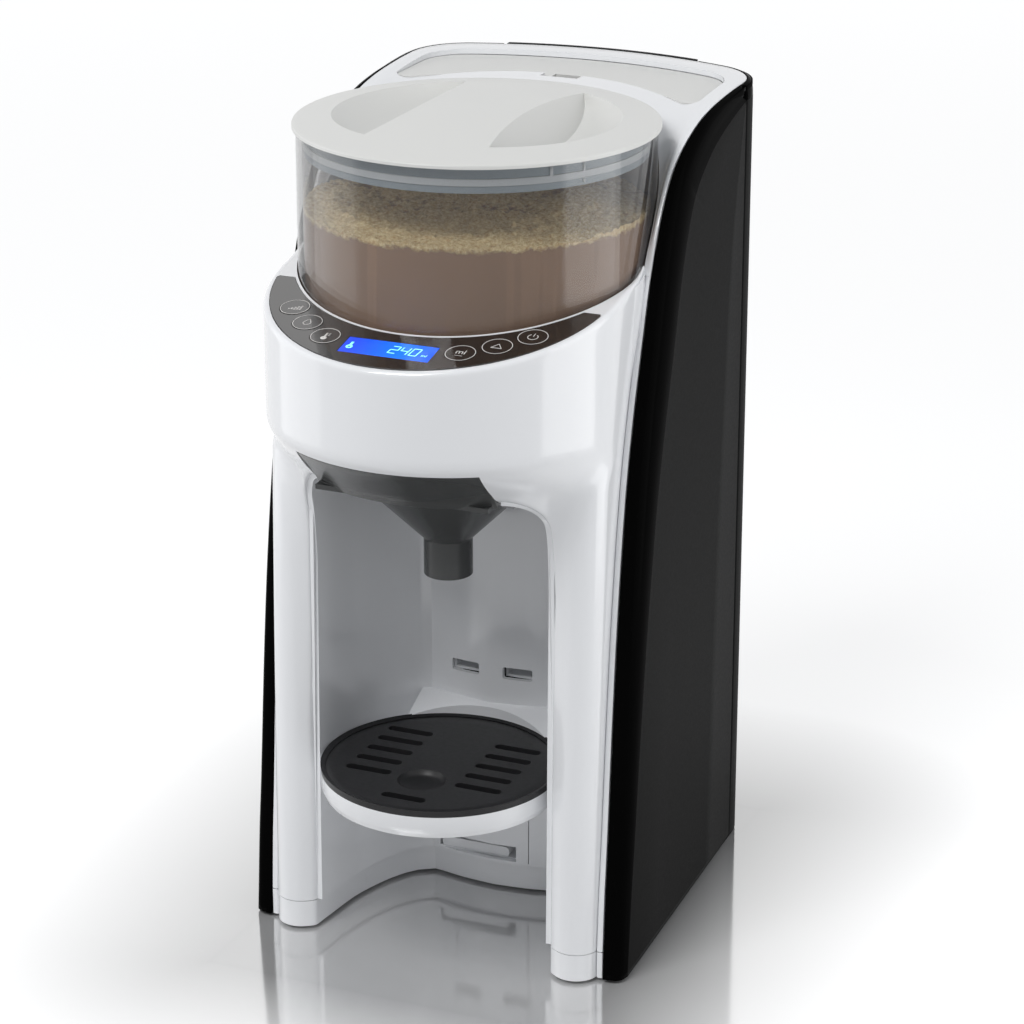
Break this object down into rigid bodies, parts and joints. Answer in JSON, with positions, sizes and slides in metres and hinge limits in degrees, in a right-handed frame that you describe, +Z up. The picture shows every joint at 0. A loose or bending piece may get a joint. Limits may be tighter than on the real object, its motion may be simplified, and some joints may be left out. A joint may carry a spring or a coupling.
{
  "type": "baby formula maker",
  "caption": "Free-standing baby formula maker with a lift-off powder container, sloping button panel, mixing funnel, bottle niche with hooked drip tray, and a water tank behind.",
  "frame": {"origin": "on the floor, in the middle of the outside width and depth", "axes": "+Z up, the bottle niche looks along -Y, +X to the right seen from the front"},
  "size_m": [0.177, 0.2549, 0.367],
  "materials": {
    "acetal": "natural white gear plastic",
    "board_green": "lacquered board",
    "brass": "plain brass",
    "clear_plastic": "clear, slightly grey-blue",
    "display_blue": "backlit blue",
    "frosted_plastic": "frosted grey-white",
    "gloss_black": "black side shell, satin on its flank",
    "gloss_white": "smooth glossy white",
    "grid_black": "satin black",
    "inner_grey": "plain grey",
    "lid_grey_white": "satin light grey-white",
    "matte_black": "fine matte black",
    "panel_black": "mirror-smooth black",
    "powder_tan": "fine granular powder",
    "rubber_black": "soft dark rubber",
    "silicone": "milky soft silicone",
    "smoked_plastic": "smoked translucent grey",
    "steel": "plain steel"
  },
  "bodies": {
    "housing": {"front_housing": "gloss_white", "niche_liner": "gloss_white", "base_tray": "gloss_white", "rubber_feet": "rubber_black", "side_panel_left": "gloss_black", "side_panel_right": "gloss_black", "rear_cover": "matte_black", "power_inlet": "matte_black", "rear_screws": "steel", "well_floor": "gloss_white", "well_bush": "brass", "motor_bracket": "steel", "gear_motor": "steel", "powder_chute": "inner_grey", "control_panel": "panel_black", "display": "display_blue", "control_board": "board_green", "button_switches": "matte_black", "funnel_rails": "inner_grey", "tank_seat": "inner_grey", "water_heater": "steel", "water_pump": "matte_black", "main_board": "board_green", "transformer": "steel", "water_nozzle": "brass", "hot_water_pipe": "silicone", "cold_water_pipe": "silicone"},
    "drive": {"drive_gear": "acetal", "drive_shaft": "steel"},
    "idler": {"idler_gear": "acetal"},
    "motor_output": {"pinion": "brass", "motor_shaft": "steel"},
    "container": {"powder_container": "clear_plastic", "milk_powder": "powder_tan"},
    "wheels": {"dosing_wheel": "acetal", "stirring_wheel": "acetal"},
    "lid_plug": {"lid_skirt": "frosted_plastic", "lid_seal": "silicone"},
    "lid": {"lid_cap": "lid_grey_white"},
    "button_level": {"button_level": "panel_black"},
    "button_night": {"button_night": "panel_black"},
    "button_warmth": {"button_warmth": "panel_black"},
    "button_volume": {"button_volume": "panel_black"},
    "button_start": {"button_start": "panel_black"},
    "button_power": {"button_power": "panel_black"},
    "funnel": {"funnel": "smoked_plastic"},
    "tray": {"drip_tray": "gloss_white"},
    "grid": {"tray_grid": "grid_black"},
    "tank": {"water_tank": "clear_plastic", "tank_valve": "silicone"},
    "tank_lid": {"tank_lid": "lid_grey_white"}
  },
  "joints": [
    {"name": "container_lift", "type": "slide", "parent": "housing", "child": "container", "axis": [0, 0, 1], "range_m": [0, 0.12]},
    {"name": "lid_lift", "type": "slide", "parent": "container", "child": "lid_plug", "axis": [0, 0, 1], "range_m": [0, 0.04]},
    {"name": "lid_twist", "type": "hinge", "parent": "lid_plug", "child": "lid", "pos_m": [0, -0.02055, 0.36], "axis": [0, 0, 1], "range_deg": [0, 30]},
    {"name": "gear_spin", "type": "hinge", "parent": "housing", "child": "drive", "pos_m": [0, -0.02055, 0.243], "axis": [0, 0, 1], "continuous": true},
    {"name": "idler_spin", "type": "hinge", "parent": "housing", "child": "idler", "pos_m": [0, 0.0082, 0.243], "axis": [0, 0, 1], "continuous": true},
    {"name": "motor_spin", "type": "hinge", "parent": "housing", "child": "motor_output", "pos_m": [0, 0.0257, 0.243], "axis": [0, 0, 1], "continuous": true},
    {"name": "wheel_spin", "type": "hinge", "parent": "container", "child": "wheels", "pos_m": [0, -0.02055, 0.26], "axis": [0, 0, 1], "continuous": true},
    {"name": "funnel_slide", "type": "slide", "parent": "housing", "child": "funnel", "axis": [0, -1, 0], "range_m": [0, 0.09]},
    {"name": "tray_slide", "type": "slide", "parent": "housing", "child": "tray", "axis": [0, -1, 0], "range_m": [0, 0.06]},
    {"name": "grid_lift", "type": "slide", "parent": "tray", "child": "grid", "axis": [0, 0, 1], "range_m": [0, 0.03]},
    {"name": "tank_lift", "type": "slide", "parent": "housing", "child": "tank", "axis": [0, 0, 1], "range_m": [0, 0.25]},
    {"name": "tank_lid_lift", "type": "slide", "parent": "tank", "child": "tank_lid", "axis": [0, 0, 1], "range_m": [0, 0.03]},
    {"name": "level_press", "type": "slide", "parent": "housing", "child": "button_level", "axis": [0, 0.1977, -0.9803], "range_m": [0, 0.0006], "stiffness_N_per_m": 400, "springref_m": -0.0015},
    {"name": "night_press", "type": "slide", "parent": "housing", "child": "button_night", "axis": [0, 0.1977, -0.9803], "range_m": [0, 0.0006], "stiffness_N_per_m": 400, "springref_m": -0.0015},
    {"name": "warmth_press", "type": "slide", "parent": "housing", "child": "button_warmth", "axis": [0, 0.1977, -0.9803], "range_m": [0, 0.0006], "stiffness_N_per_m": 400, "springref_m": -0.0015},
    {"name": "volume_press", "type": "slide", "parent": "housing", "child": "button_volume", "axis": [0, 0.1977, -0.9803], "range_m": [0, 0.0006], "stiffness_N_per_m": 400, "springref_m": -0.0015},
    {"name": "start_press", "type": "slide", "parent": "housing", "child": "button_start", "axis": [0, 0.1977, -0.9803], "range_m": [0, 0.0006], "stiffness_N_per_m": 400, "springref_m": -0.0015},
    {"name": "power_press", "type": "slide", "parent": "housing", "child": "button_power", "axis": [0, 0.1977, -0.9803], "range_m": [0, 0.0006], "stiffness_N_per_m": 400, "springref_m": -0.0015}
  ],
  "couplings": [
    {"joint": "idler_spin", "follows": "gear_spin", "ratio": -1.875},
    {"joint": "motor_spin", "follows": "gear_spin", "ratio": 2.5},
    {"joint": "wheel_spin", "follows": "gear_spin", "ratio": 1}
  ]
}
